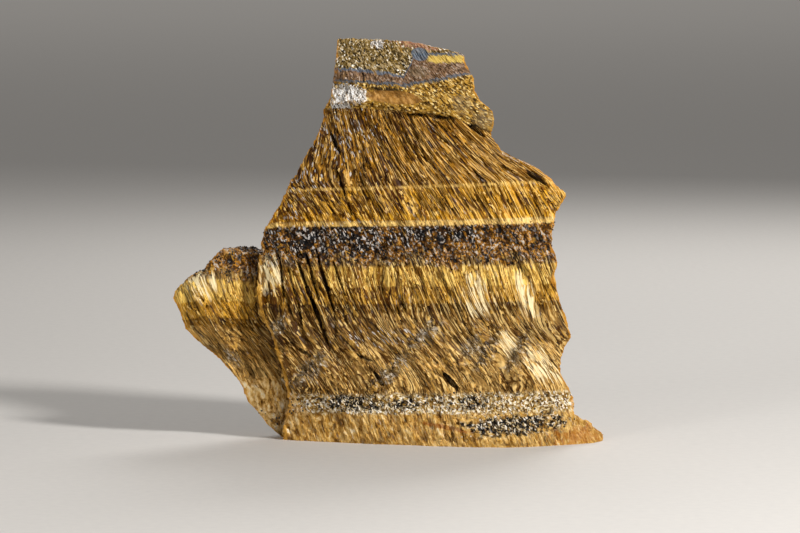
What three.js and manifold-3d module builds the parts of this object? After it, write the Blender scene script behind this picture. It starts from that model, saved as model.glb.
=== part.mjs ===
// Rough tiger's eye: one broken piece of banded fibrous quartz that stands on a flat seam wall.
// Millimetres, x to the right across the split face, y away from it, z up along the fibres.
// It is one natural piece: five broken lobes, the splinters on them and the lumps in the seams are
// fused into a single solid, and the clefts and pits are cut out of it.
import * as THREE from "three";
import { ImprovedNoise } from "three/addons/math/ImprovedNoise.js";
import { mergeVertices } from "three/addons/utils/BufferGeometryUtils.js";
import Module from "manifold-3d";

const wasm = await Module();
wasm.setup();
const perlin = new ImprovedNoise();
const { degToRad, lerp, seededRandom, smoothstep } = THREE.MathUtils;

// Driving dimensions
const SIZE = {
  height: 101.4, // base to the top of the cap
  courseSpacing: 3, // height between the rings of a lobe
  leastCourse: 1.2, // corners of an outline closer than this share a ring
  wallSteps: 4, // steps from front to back down each broken side wall
  wallHollow: 1.2, // how far the middle of a side wall lies inside its edges
  wallFade: 8, // height over which the notches of the outline are evened out at the back
  faceLean: 0.045, // how far the split face leans back for each millimetre of height
  backLean: 0.085, // how far the back leans forward for each millimetre of height
  capOverhang: 1.2, // how far the cap stands out over the fibres below it
  capParting: 1.2, // height over which it comes out
  flakeStepBack: 3.2, // how far the shoulder flake lies behind the split face
  lobeThinner: 1.5, // how far the left lobe's back lies inside the body's
  capThinner: 1, // the same for the cap
  spurThinner: 6, // and for the spur at the right foot
  spurSlope: [0.5, 0.8], // how far its front and back fall in for each millimetre of height
  spurRelief: 0.4, // its share of the face's relief
  edgeDrop: 1.3, // how far the face turns back at its broken edges
  edgeReach: 2.2, // width of that turn
  finest: 0.1, // relief too small to keep
  weld: 1e-4, // points closer than this are one
};
const ROUGHNESS = {
  swell: { height: 1.3, length: 26 }, // slow rise and fall of a broken face
  ridge: { height: 0.75, width: 3.4, length: 34 }, // fibre bundles standing out of the face
  wall: { height: 2.6, width: 5, length: 21 }, // hackle of the side walls
};

const NOISE_SLICE = { front: 1, lobeFront: 3, spur: 5, back: 7, lobeBack: 9 }; // keeps the faces unlike

// Fibres lean to the left on their way up: [height, lean in degrees]
const FIBRE_LEAN = [
  [0, 20], [12, 15], [18, 34], [27, 40], [33, 24], [42, 16], [52, 20], [60, 32], [84, 30],
];
const FIBRE_FAN = { start: 66, spread: 0.013 }; // above start they spread from the middle

// Broken outlines seen from the front: [height, x] from the base up
const BODY_LEFT = [
  [-2, -27.8], [3.8, -27], [9.5, -25.8], [14.5, -26.5], [21.2, -28.2], [27, -30.2], [32, -32.8],
  [38.8, -33.5],
  [45.5, -33.2], [47.2, -32.2], [49.5, -32.8], [53.2, -31.8], [59.8, -27.8], [69.2, -23.2], [74.5, -20.3],
  [78, -17.8], [81.8, -16.8], [86, -15.5],
];
const BODY_RIGHT = [
  [-2, 46.5], [7, 46.2], [11.4, 46], [15, 44.2], [18, 42.4], [23.8, 43.4], [27.1, 45.5], [30.5, 44.2],
  [37.8, 42],
  [42.2, 40.9], [45.8, 42], [49.5, 40.5], [53.2, 40.5], [58.2, 41.6], [61.6, 43], [64, 36.6], [67, 33],
  [70, 29.8], [73.7, 27.7], [77.8, 25], [86, 22],
];
const LOBE_LEFT = [
  [-2, -27.4], [0, -28], [6.2, -32.5], [9.2, -35], [12.8, -36.5], [18, -40.2], [20.5, -42.2], [24.2, -46.8],
  [27.8, -50.5], [32, -52.2], [35.5, -53.9], [37.4, -53.8], [41.5, -49.8], [43.2, -46], [46.5, -43.8],
  [49, -41.6],
];
const LOBE_RIGHT = [[-2, -12], [49, -16]];
const CAP_LEFT = [
  [76, -16], [81.8, -16.8], [83.5, -17], [87.2, -14.9], [91.2, -14.5], [95.8, -13.8], [100.8, -13.4],
  [103, -13],
];
const CAP_RIGHT = [
  [76, 24.4], [77.8, 25.1], [79.5, 25.9], [82.5, 25.9], [84.3, 25.1], [85.8, 22.5], [88.8, 20.9],
  [91.6, 20.8],
  [94.6, 19.2], [96, 18.3], [103, 18],
];
const FLAKE_LEFT = [[55, 26], [72.4, 24]];
const FLAKE_RIGHT = [
  [55, 39.5], [58.2, 41.8], [62.5, 44.4], [64.9, 40.9], [69, 36.5], [71.9, 32.8], [72.4, 28],
];
const SPUR_LEFT = [[-2, 36], [9, 36]];
const SPUR_RIGHT = [[-2, 53], [0, 53.6], [1.8, 54], [4.8, 50], [7, 46.4], [9, 43]];

// Depths seen from above: [x, distance in front of the middle plane]
const FACE_DEPTH = [[-34, 8.5], [-10, 12.6], [12, 14.2], [44, 12.6]];
const FOOT_DEPTH = [[-28, 3.6], [15, 18], [29, 19], [41, 15], [51, 10], [54, 5.6]];
const LOBE_DEPTH = [[-54, 1], [-50, 3.2], [-42, 4], [-34, 0.2], [-24, 0.6]];
const LOBE_TUCK = [[0, -2.2], [24, 0]]; // [height, depth]: it falls back towards the base
const BACK_DEPTH = [[-54, 8], [-30, 15], [5, 20], [30, 18], [54, 10]];
const BACK_LEDGES = [ // [height, step]: the back broke off along the seams
  [0, 0.6], [11, 0.6], [12.5, -1.2], [45, -0.4], [47.5, -3], [69, -2.6], [71, -4.4], [86, -4],
];
const BACK_RIBS = [ // [distance across the fibres, step]: and along bundles of fibres
  [-32, 0], [-12, 0.6], [-9, -1.6], [7, -0.8], [10, 1.2], [22, 0.6], [25, -1.4], [44, 0], [47, 1.6],
  [62, 0.8], [65, -0.8],
];
const FLAKE_THICKNESS = [[24, 22], [36, 15], [44.4, 6]];
// [height, share of the foot's depth]
const FOOT_SHARE = [[0, 1], [3.5, 0.9], [8.6, 0.52], [9.6, 0.24], [13.5, 0]];

// Seams that weathered back or stand proud: height of the middle, half width and relief
const SEAMS = [
  { height: 10.8, half: 2.1, relief: -1.5 }, // crumbly dark seam over the ledge
  { height: 49.5, half: 4.6, relief: -0.7 }, // broad dark seam across the middle
  { height: 56, half: 0.9, relief: 0.5 }, // hard pale line over it
  { height: 65.2, half: 0.8, relief: 0.4 }, // second pale line
];
const CAP_BEDS = [
  { height: 97, half: 1.2, relief: 0.5 },
  { height: 91.5, half: 2.2, relief: 0.6 },
  { height: 88.4, half: 0.7, relief: -1.2 },
  { height: 85.6, half: 2, relief: 0.5 },
];

// Line under the cap where it parts from the fibres: [x, height]
const PARTING = [[-18, 84.2], [-6, 84], [4, 83], [16, 81.7], [20, 79.8], [26, 77.4]];
// Rise of the cap's beds, which dip to the right and kink up in a fold: [x, rise]
const CAP_FOLD = [[-16, 1.4], [2.4, -1.6], [5.4, 1.8], [12, 0.4], [20, 1.2]];

// Clefts in the split face: x and height of both ends, width, depth
const CLEFTS = [
  [-18.8, 48.8, -14.2, 33.2, 0.9, 2.6], // open set along the fibres left of the middle
  [-23.5, 45.8, -15.8, 25, 1, 2.8],
  [-21.2, 47.5, -18.2, 36.2, 0.8, 2.2],
  [-28, 47.5, -26.8, 36.2, 0.8, 2],
  [-25.8, 44.2, -22.2, 30, 0.7, 1.8],
  [-14.5, 45.8, -11.5, 37.2, 0.7, 1.8],
  [-15, 77.5, -12.5, 72.5, 0.9, 2.2], // slits under the cap
  [-13.5, 68.8, -9.8, 57.5, 0.7, 1.6],
  [-4.2, 18.2, -1.8, 14.2, 0.8, 1.5], // slits low on the face
  [13.2, 17.9, 16.6, 13.2, 0.9, 1.6],
  [-7.5, 22.2, -4.8, 19.8, 0.8, 1.3],
  [39.8, 44.2, 41.2, 38.2, 0.7, 2.4], // sliver on the right edge
  [33.6, 68.4, 39.4, 64.4, 1.6, 2.6], // hollow behind the right shoulder's rim
  [4, 82.6, 16.5, 81.4, 0.8, 2.2], // crack under the cap
  [19.4, 79.8, 23.4, 77.2, 1, 2.4],
];
const SPLINTERS = {
  face: { count: 50, seed: 11, heights: [14, 76] },
  lobe: { count: 6, seed: 37, heights: [16, 40] },
  length: [14, 34],
  width: [2, 4.4],
  proud: [0.4, 0.95], // how far the middle stands out of the face
  rooted: 0.8, // how deep the ends lie below it
  margin: 2.5, // distance kept from the broken edges
};
// Lumps of quartz and goethite in the crumbly seam, and pits in the broad dark one
const LUMPS = { count: 16, seed: 41, size: [0.9, 1.9], height: 10.8, spread: 3.6, x: [-22, 44] };
const PITS = { count: 10, seed: 53, size: [0.9, 1.7], height: 49.5, spread: 6, x: [-28, 36] };
const NUGGET = { shape: [1, 0.8, 0.75], turn: [3.1, 7.3] }; // proportions, and turn about x and y per piece

// Flat breaks: a point on each, then its turn about y and about x in degrees
const CAP_BREAKS = [
  [-3, -9.5, SIZE.height - 0.3, 3, -8], // long break down to the right and the back
  [12, -9.5, SIZE.height - 2.4, 13, -8], // shorter break at its right end
];
const LOBE_BREAKS = [[-37, 0, 47.6, 11, 6]];
const BODY_BREAKS = [
  [-24, 16, 40, -62, -62], // back left corner
  [28, 15, 72, 34, -58], // back of the right shoulder
  [36, 13, 22, 72, -52], // back right corner over the spur
  [2, 14, 88, -8, -50], // back of the cap
  [0, 0, 0, 180, 0], // the flat base
];

// Straight lines through a list of [key, value] pairs, level past both ends
function along(points, key) {
  const next = points.findIndex(([at]) => at >= key);
  if (next === 0) return points[0][1];
  if (next < 0) return points.at(-1)[1];
  const [[k0, v0], [k1, v1]] = [points[next - 1], points[next]];
  return lerp(v0, v1, (key - k0) / (k1 - k0));
}

// Lean of the fibres from the vertical at a place on the face, in radians
function fibreLean(x, z) {
  const straight = Math.tan(degToRad(along(FIBRE_LEAN, z)));
  return Math.atan(straight + FIBRE_FAN.spread * Math.max(0, z > FIBRE_FAN.start ? x : 0));
}

// How far a fibre has drifted to the left by the time it reaches a height
function fibreDrift(z) {
  const steps = 24;
  let drift = 0;
  for (let i = 0; i < steps; i++) {
    drift += (Math.tan(degToRad(along(FIBRE_LEAN, (z * (i + 0.5)) / steps))) * z) / steps;
  }
  return drift;
}

// Relief of a list of seams at a height
function seamRelief(seams, z) {
  return seams.reduce((sum, s) => sum + s.relief * Math.exp(-(((z - s.height) / s.half) ** 2)), 0);
}

// Slow swell and fibre ridges of a broken face; side tells the front from the back
function faceRelief(x, z, side) {
  const { swell, ridge } = ROUGHNESS;
  const across = x + fibreDrift(z);
  return (
    swell.height * perlin.noise(x / swell.length, z / swell.length, side) +
    ridge.height * perlin.noise(across / ridge.width, z / ridge.length, side + 0.5)
  );
}

// Distances of each lobe's faces in front of and behind the middle plane
function bodyFront(x, z) {
  const face = along(FACE_DEPTH, x) - SIZE.faceLean * z + seamRelief(SEAMS, z);
  return lerp(face, along(FOOT_DEPTH, x), along(FOOT_SHARE, z)) + faceRelief(x, z, NOISE_SLICE.front);
}
function bodyBack(x, z) {
  const steps = along(BACK_LEDGES, z) + along(BACK_RIBS, x + fibreDrift(z));
  return along(BACK_DEPTH, x) - SIZE.backLean * z + steps + faceRelief(x, z, NOISE_SLICE.back);
}
function lobeFront(x, z) {
  return along(LOBE_DEPTH, x) + along(LOBE_TUCK, z) + faceRelief(x, z, NOISE_SLICE.lobeFront);
}
function lobeBack(x, z) {
  const plain = along(BACK_DEPTH, x) - SIZE.lobeThinner - SIZE.backLean * z;
  return plain + faceRelief(x, z, NOISE_SLICE.lobeBack);
}
function capFront(x, z) {
  const parting = along(PARTING, x);
  const out = smoothstep(z, parting - SIZE.capParting / 2, parting + SIZE.capParting / 2);
  const beds = out * seamRelief(CAP_BEDS, z - along(CAP_FOLD, x));
  return bodyFront(x, z) + lerp(-SIZE.capOverhang, SIZE.capOverhang, out) + beds;
}
function capBack(x, z) {
  return bodyBack(x, z) - SIZE.capThinner;
}
function flakeFront(x, z) {
  return bodyFront(x, z) - SIZE.flakeStepBack;
}
function flakeBack(x, z) {
  return along(FLAKE_THICKNESS, x) - flakeFront(x, z);
}
function spurFront(x, z) {
  const relief = SIZE.spurRelief * faceRelief(x, z, NOISE_SLICE.spur);
  return along(FOOT_DEPTH, x) - SIZE.spurSlope[0] * Math.max(0, z) + relief;
}
function spurBack(x, z) {
  return along(BACK_DEPTH, x) - SIZE.spurThinner - SIZE.spurSlope[1] * Math.max(0, z);
}

// Heights of a lobe's rings: every corner of its outline, with even courses between
function courseHeights(left, right) {
  const corners = [...left, ...right].map(([z]) => z).sort((a, b) => a - b);
  const heights = [corners[0]];
  for (const corner of corners.slice(1)) {
    const below = heights.at(-1);
    if (corner - below < SIZE.leastCourse) continue;
    const courses = Math.max(1, Math.round((corner - below) / SIZE.courseSpacing));
    for (let i = 1; i <= courses; i++) heights.push(lerp(below, corner, i / courses));
  }
  heights[heights.length - 1] = corners.at(-1);
  return heights;
}

// One ring of a lobe, counter-clockwise from above: face, right wall, back, left wall
function ring(lobe, z) {
  const [xl, xr] = [along(lobe.left, z), along(lobe.right, z)];
  const nearby = [z - SIZE.wallFade, z, z + SIZE.wallFade];
  const evened = (outline) => nearby.reduce((sum, at) => sum + along(outline, at), 0) / nearby.length;
  const [bl, br] = [evened(lobe.left) + lobe.inset[0], evened(lobe.right) - lobe.inset[1]];
  const row = (count, from, to, depth, sign) =>
    Array.from({ length: count + 1 }, (_, i) => {
      const x = lerp(from, to, i / count);
      const toEdge = Math.min(x - Math.min(from, to), Math.max(from, to) - x);
      const turned = SIZE.edgeDrop * Math.exp(-toEdge / SIZE.edgeReach);
      return new THREE.Vector3(x, sign * (depth(x, z) - turned), z);
    });
  const face = row(lobe.columns[0], xl, xr, lobe.front, -1);
  const back = row(lobe.columns[1], br, bl, lobe.back, 1);
  const wall = (from, to, side) =>
    Array.from({ length: SIZE.wallSteps - 1 }, (_, i) => {
      const t = (i + 1) / SIZE.wallSteps;
      const point = from.clone().lerp(to, t);
      const { height, width, length } = ROUGHNESS.wall;
      point.x += height * perlin.noise(point.y / width, z / length, side);
      point.x -= side * SIZE.wallHollow * Math.sin(Math.PI * t);
      return point;
    });
  return [...face, ...wall(face.at(-1), back[0], 1), ...back, ...wall(back.at(-1), face[0], -1)];
}

// A closed surface through a stack of rings, with a fan of triangles over each flat end
function loft(rings) {
  const count = rings[0].length;
  const middle = (points) => points.reduce((sum, p) => sum.add(p), new THREE.Vector3()).divideScalar(count);
  const [first, top] = [0, rings.length - 1];
  const points = [...rings.flat(), middle(rings[first]), middle(rings[top])];
  const [underside, crown] = [points.length - 2, points.length - 1];
  const at = (i, j) => i * count + (j % count);
  const corners = [];
  for (let j = 0; j < count; j++) {
    for (let i = 0; i < top; i++) {
      corners.push(at(i, j), at(i, j + 1), at(i + 1, j)); // the diagonal leans as the fibres do
      corners.push(at(i, j + 1), at(i + 1, j + 1), at(i + 1, j));
    }
    corners.push(at(first, j + 1), at(first, j), underside);
    corners.push(at(top, j), at(top, j + 1), crown);
  }
  return new THREE.BufferGeometry().setFromPoints(points).setIndex(corners);
}

// A three.js geometry as a solid that can be joined and cut
function solid(geometry) {
  const plain = new THREE.BufferGeometry();
  plain.setAttribute("position", geometry.getAttribute("position"));
  if (geometry.index) plain.setIndex(geometry.index);
  const merged = mergeVertices(plain, SIZE.weld);
  return new wasm.Manifold(
    new wasm.Mesh({
      numProp: 3,
      vertProperties: new Float32Array(merged.getAttribute("position").array),
      triVerts: new Uint32Array(merged.index.array),
    }),
  );
}

function lobeSolid(lobe) {
  return solid(loft(courseHeights(lobe.left, lobe.right).map((z) => ring(lobe, z))));
}

// A large box whose underside passes through a point, turned about y and x: it cuts off what is above
function fracture(x, y, z, leanY, leanX) {
  const reach = 200;
  const box = new THREE.BoxGeometry(reach, reach, reach).translate(0, 0, reach / 2);
  box.rotateX(degToRad(leanX)).rotateY(degToRad(leanY)).translate(x, y, z);
  return solid(box);
}

// A long double-pointed sliver between two places on a face; surface gives the face's y
function sliver(surface, [x0, z0], [x1, z1], width, depth, sunk = 0) {
  const [x, z] = [(x0 + x1) / 2, (z0 + z1) / 2];
  const y = surface(x, z);
  const run = new THREE.Vector3(x1 - x0, surface(x1, z1) - surface(x0, z0), z1 - z0);
  const shape = new THREE.OctahedronGeometry(1).scale(width / 2, depth, run.length() / 2);
  const turn = new THREE.Quaternion().setFromUnitVectors(new THREE.Vector3(0, 0, 1), run.normalize());
  return solid(shape.applyQuaternion(turn).translate(x, y - Math.sign(y) * sunk, z));
}

// A flat-faced lump or pit
function nugget(x, y, z, size, turns) {
  const shape = new THREE.IcosahedronGeometry(size, 0).scale(...NUGGET.shape);
  shape.rotateY(turns * NUGGET.turn[1]).rotateX(turns * NUGGET.turn[0]).translate(x, y, z);
  return solid(shape);
}

// Splinters that stand out of a face along its fibres, the same on every run
function splinters({ count, seed, heights }, { left, right }, surface) {
  const { length, width, proud, rooted, margin } = SPLINTERS;
  const between = ([from, to]) => lerp(from, to, seededRandom());
  const onFace = ([x, z]) => x > along(left, z) + margin && x < along(right, z) - margin;
  const made = [];
  seededRandom(seed);
  while (made.length < count) {
    const z = between(heights);
    const x = between([along(left, z), along(right, z)]);
    const lean = fibreLean(x, z);
    const half = between(length) / 2;
    const [across, up] = [Math.sin(lean) * half, Math.cos(lean) * half];
    const ends = [[x + across, z - up], [x - across, z + up]];
    const [wide, out] = [between(width), between(proud)];
    if (ends.every(onFace)) made.push(sliver(surface, ...ends, wide, out + rooted, rooted));
  }
  return made;
}
function nuggets({ count, seed, size, height, spread, x }) {
  seededRandom(seed);
  return Array.from({ length: count }, (_, i) => {
    const at = lerp(...x, (i + seededRandom()) / count);
    const z = height + spread * (seededRandom() - 0.5);
    return nugget(at, -bodyFront(at, z), z, lerp(...size, seededRandom()), i);
  });
}

const LOBES = {
  body: {
    left: BODY_LEFT, right: BODY_RIGHT, front: bodyFront, back: bodyBack,
    inset: [6, 8],
    columns: [22, 14],
  },
  lobe: {
    left: LOBE_LEFT, right: LOBE_RIGHT, front: lobeFront, back: lobeBack,
    inset: [6, 0],
    columns: [12, 7],
  },
  cap: {
    left: CAP_LEFT, right: CAP_RIGHT, front: capFront, back: capBack,
    inset: [2, 3],
    columns: [14, 6],
  },
  flake: {
    left: FLAKE_LEFT, right: FLAKE_RIGHT, front: flakeFront, back: flakeBack,
    inset: [0, 3],
    columns: [6, 4],
  },
  spur: {
    left: SPUR_LEFT, right: SPUR_RIGHT, front: spurFront, back: spurBack,
    inset: [0, 3],
    columns: [7, 4],
  },
};

function buildStone() {
  const { body, lobe, cap, flake, spur } = LOBES;
  const bodyFace = (x, z) => -bodyFront(x, z);
  const lobeFace = (x, z) => -lobeFront(x, z);
  const lobeFaceEdges = { left: LOBE_LEFT, right: BODY_LEFT };
  const broken = (whole, breaks) =>
    breaks.reduce((rest, place) => rest.subtract(fracture(...place)), whole);
  const raised = [
    broken(lobeSolid(lobe), LOBE_BREAKS),
    broken(lobeSolid(cap), CAP_BREAKS),
    lobeSolid(flake),
    lobeSolid(spur),
    ...splinters(SPLINTERS.face, body, bodyFace),
    ...splinters(SPLINTERS.lobe, lobeFaceEdges, lobeFace),
    ...nuggets(LUMPS),
  ];
  const sunk = [
    ...CLEFTS.map(([x0, z0, x1, z1, width, depth]) => sliver(bodyFace, [x0, z0], [x1, z1], width, depth)),
    ...nuggets(PITS),
  ];
  const joined = raised.reduce((whole, piece) => whole.add(piece), lobeSolid(body));
  const cut = sunk.reduce((whole, piece) => whole.subtract(piece), joined);
  const pieces = broken(cut, BODY_BREAKS).simplify(SIZE.finest).decompose();
  return pieces.sort((a, b) => b.volume() - a.volume())[0]; // chips that came loose are left out
}

// The solid as a three.js mesh, with its origin in the middle of its box at the base
function stoneMesh(stone) {
  const { vertProperties, triVerts, numProp } = stone.getMesh();
  const geometry = new THREE.BufferGeometry();
  const points = new THREE.InterleavedBuffer(vertProperties, numProp);
  geometry.setAttribute("position", new THREE.InterleavedBufferAttribute(points, 3, 0));
  geometry.setIndex(new THREE.BufferAttribute(triVerts, 1));
  const plain = mergeVertices(geometry.toNonIndexed(), SIZE.weld);
  plain.computeBoundingBox();
  const middle = plain.boundingBox.getCenter(new THREE.Vector3());
  plain.translate(-middle.x, -middle.y, -plain.boundingBox.min.z);
  const material = new THREE.MeshStandardMaterial({ color: 0x8f6a2e, roughness: 0.55, metalness: 0 });
  const mesh = new THREE.Mesh(plain, material);
  mesh.name = "stone";
  return mesh;
}

const tigersEye = new THREE.Group();
tigersEye.add(stoneMesh(buildStone()));
export default tigersEye;
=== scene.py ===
import math
from functools import partial

import bmesh
import bpy
import numpy as np
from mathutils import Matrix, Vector


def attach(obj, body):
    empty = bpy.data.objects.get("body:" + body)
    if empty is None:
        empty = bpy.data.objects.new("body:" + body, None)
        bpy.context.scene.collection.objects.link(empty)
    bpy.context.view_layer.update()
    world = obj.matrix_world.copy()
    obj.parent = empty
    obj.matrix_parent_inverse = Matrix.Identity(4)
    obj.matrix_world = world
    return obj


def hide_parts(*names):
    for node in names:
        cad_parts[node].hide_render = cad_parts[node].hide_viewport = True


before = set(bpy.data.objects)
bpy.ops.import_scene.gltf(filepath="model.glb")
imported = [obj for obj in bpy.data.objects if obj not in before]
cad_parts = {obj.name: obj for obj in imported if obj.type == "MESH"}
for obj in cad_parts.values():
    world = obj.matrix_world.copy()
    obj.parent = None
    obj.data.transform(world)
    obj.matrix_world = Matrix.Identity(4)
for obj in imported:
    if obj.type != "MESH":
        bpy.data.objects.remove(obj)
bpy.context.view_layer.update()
mm = 0.001

# Lengths below are in millimetres unless they say otherwise: x to the right across the split
# face, y away from it, z up from the surface that the stone stands on.


def linear(hexCode):  # sRGB hex to the linear colour that shaders take
    channels = [int(hexCode[i:i + 2], 16) / 255 for i in (1, 3, 5)]
    return [c / 12.92 if c <= 0.04045 else ((c + 0.055) / 1.055) ** 2.4 for c in channels] + [1.0]


def addNode(tree, kind, inputs=(), output=0, stops=(), **settings):  # one node, its settings and links
    node = tree.nodes.new(kind)
    for name, value in settings.items():
        setattr(node, name, value)
    if stops:  # where a ramp has which colour, from low to high
        elements = node.color_ramp.elements
        elements.remove(elements[1])
        elements[0].position = stops[0][0]
        for at, hexCode in stops[1:]:
            elements.new(at)
        for element, (at, hexCode) in zip(elements, stops):
            element.color = linear(hexCode)
    for key, value in (inputs.items() if isinstance(inputs, dict) else enumerate(inputs)):
        if isinstance(value, bpy.types.NodeSocket):
            tree.links.new(value, node.inputs[key])
        elif value is not None:
            node.inputs[key].default_value = value
    return node.outputs[output] if node.outputs else node


def rise(value, low, high):  # 0 below low, 1 above high, smooth between
    t = np.clip((value - low) / (high - low), 0, 1)
    return t * t * (3 - 2 * t)


def between(value, foot, top, edge, end):  # 1 from top to edge, 0 below foot and above end
    return rise(value, foot, top) * (1 - rise(value, edge, end))


def readTable(table, key):
    at, value = zip(*table)
    return np.interp(key, at, value)


# How the stone grew: fibres stand across flat layers and lean to the left on their way up.
fibres = {
    "lean": [(0, 20), (12, 15), (18, 34), (27, 40), (33, 24), (42, 16), (52, 20), (60, 32), (66, 27)],
    "fanStart": 66,      # above this they spread out
    "fanLean": 0.5,      # slope at x = 0 there
    "fanSpread": 0.026,  # and how much it grows for each millimetre to the right
    "kink": 0.75,        # bends of the dull lower layers
    "kinkSpan": (11, 15, 27, 34),
    "wander": [          # slow bends: wave length in x, in z, phase, how far
        (31, 23, 0.4, 0.55),
        (17, 29, 1.9, 0.4),
        (11, 13, 3.7, 0.22),
        (7, 19, 5.2, 0.16),
    ],
}
layers = {
    "tilt": [(0, 0.02), (50, 0.015), (56, 0.02), (65, 0.035), (84, 0.03)],  # rise to the right
    "dip": 0.38,     # fall towards the back
    "face": -8,      # y up to which they run level, so that the heights below are true there
    "seamSpan": (44.4, 47, 54.2, 55),     # where the dark seam fades in and out
    "crumbSpan": (7.4, 9, 11.6, 13),      # and the crumbly one
}
cap = {
    "parting": [(-18, 84.2), (-6, 84), (4, 83), (16, 81.7), (20, 79.8), (26, 77.4)],  # its lower edge
    "upperLine": [(-18, 94), (-13.8, 93.8), (-7.4, 93.4), (-0.8, 92.5), (3.1, 91.6), (4.1, 93.7),
                  (5, 95), (5.6, 97), (9, 97.3), (18.3, 97.4), (26, 97)],
    "lowerLine": [(-18, 91.2), (-14.4, 91), (-7.4, 90.4), (-0.8, 90.1), (3.4, 89.5), (8.3, 90.4),
                  (12.2, 91), (19.8, 92.7), (26, 93.4)],
    "dip": 0.12,
}
lobe = {  # the lower step to the left: z and x of the edge of the main face beside it
    "stepLine": [(3.7, -27), (9.5, -25.7), (14.5, -26.5), (21.2, -28.2), (27, -30.2), (32, -32.7),
                 (38.7, -33.5), (46, -33.2)],
    "stepTop": 47,
    "stepBack": 4,
    "drop": 2.2,     # how far its layers sit below those of the main face
    "swell": 1.2,    # what its outline gains over the frame
    "farOff": 20,    # stands for nowhere near the step
}
driftHeights = np.linspace(-5, fibres["fanStart"], 600)
driftSlopes = np.tan(np.radians(readTable(fibres["lean"], driftHeights)))
driftSteps = (driftSlopes[1:] + driftSlopes[:-1]) / 2 * np.diff(driftHeights)
drifts = np.concatenate([[0], np.cumsum(driftSteps)])


def acrossFibres(x, z):  # distance across the fibres: the same all along one fibre
    low = np.minimum(z, fibres["fanStart"])
    above = np.maximum(z - fibres["fanStart"], 0)
    hinge = fibres["fanLean"] / fibres["fanSpread"]
    return (x + hinge) * np.exp(fibres["fanSpread"] * above) - hinge + np.interp(low, driftHeights, drifts)


def fromFibres(u, z):  # the way back from acrossFibres to x
    low = np.minimum(z, fibres["fanStart"])
    above = np.maximum(z - fibres["fanStart"], 0)
    hinge = fibres["fanLean"] / fibres["fanSpread"]
    return (u - np.interp(low, driftHeights, drifts) + hinge) * np.exp(-fibres["fanSpread"] * above) - hinge


def fibreSlope(x, z):
    fanned = fibres["fanLean"] + fibres["fanSpread"] * x
    plain = np.tan(np.radians(readTable(fibres["lean"], z)))
    return np.where(z > fibres["fanStart"], fanned, plain)


def getPoints(mesh):  # in millimetres
    flat = np.empty(len(mesh.vertices) * 3, np.float32)
    mesh.vertices.foreach_get("co", flat)
    return flat.reshape(-1, 3).astype(float) / mm


def setPoints(mesh, points):
    mesh.vertices.foreach_set("co", (points * mm).astype(np.float32).ravel())
    mesh.update()


def store(mesh, name, kind, values):
    old = mesh.attributes.get(name)
    if old:
        mesh.attributes.remove(old)
    field = {"FLOAT": "value", "FLOAT_VECTOR": "vector", "FLOAT_COLOR": "color"}[kind]
    mesh.attributes.new(name, kind, "POINT").data.foreach_set(field, np.asarray(values, np.float32).ravel())


def reach(points, place):  # 1 in the middle of a lens-shaped spot, 0 at its edge, below 0 outside
    x, y, z = (points - np.array(place["at"])).T
    turn = math.radians(place.get("turn", 0))
    along = x * math.cos(turn) + z * math.sin(turn)
    over = z * math.cos(turn) - x * math.sin(turn)
    length, depth, height = place["half"]
    return 1 - np.sqrt((along / length) ** 2 + (y / depth) ** 2 + (over / height) ** 2)


def plainMesh(obj):  # what an object's modifiers make, as a mesh of its own
    evaluated = obj.evaluated_get(bpy.context.evaluated_depsgraph_get())
    return bpy.data.meshes.new_from_object(evaluated)


def newObject(name, mesh):
    obj = bpy.data.objects.new(name, mesh)
    bpy.context.scene.collection.objects.link(obj)
    return obj


def newTree(name, values):  # a geometry tree with one input for each titled value
    tree = bpy.data.node_groups.new(name, "GeometryNodeTree")
    tree.interface.new_socket("Geometry", in_out="INPUT", socket_type="NodeSocketGeometry")
    for label in filter(str.istitle, values):
        kind = "NodeSocketInt" if label == "Seed" else "NodeSocketFloat"
        tree.interface.new_socket(label, in_out="INPUT", socket_type=kind)
    tree.interface.new_socket("Geometry", in_out="OUTPUT", socket_type="NodeSocketGeometry")
    return tree, partial(addNode, tree), tree.nodes.new("NodeGroupInput").outputs


def newMaterial(name):
    material = bpy.data.materials.new(name)
    material.use_nodes = True
    material.node_tree.nodes.clear()
    return material, partial(addNode, material.node_tree)


def setInputs(modifier, values):  # by each socket's identifier
    for item in modifier.node_group.interface.items_tree:
        if item.in_out == "INPUT" and item.name in values:
            modifier[item.identifier] = values[item.name]


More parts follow.
